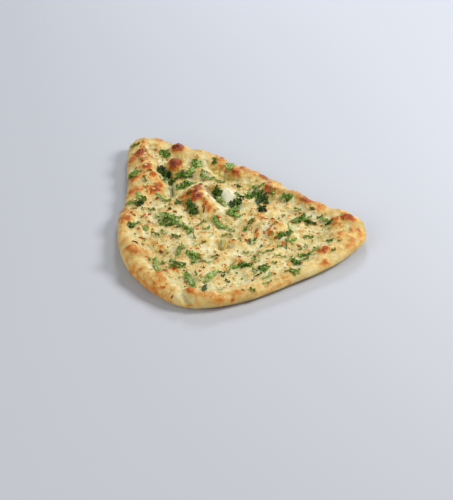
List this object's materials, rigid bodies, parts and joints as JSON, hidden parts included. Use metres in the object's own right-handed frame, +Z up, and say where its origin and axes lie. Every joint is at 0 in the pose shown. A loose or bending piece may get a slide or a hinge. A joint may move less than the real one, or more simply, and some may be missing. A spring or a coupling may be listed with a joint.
{
  "type": "naan bread",
  "caption": "Long rounded-triangle garlic and coriander naan: a flat leavened bread with a raised rim, toasted blisters and buttery hollows.",
  "frame": {"origin": "on the surface that the bread lies on, under the middle of its bounding box", "axes": "+Z up through the bread's thickness, +Y from the broad end towards the narrow end, +X to the right of that, towards the side corner"},
  "size_m": [0.231, 0.269, 0.0227],
  "materials": {
    "naan_bread": "satin"
  },
  "bodies": {
    "root": {"naan_bread": "naan_bread"}
  },
  "joints": []
}
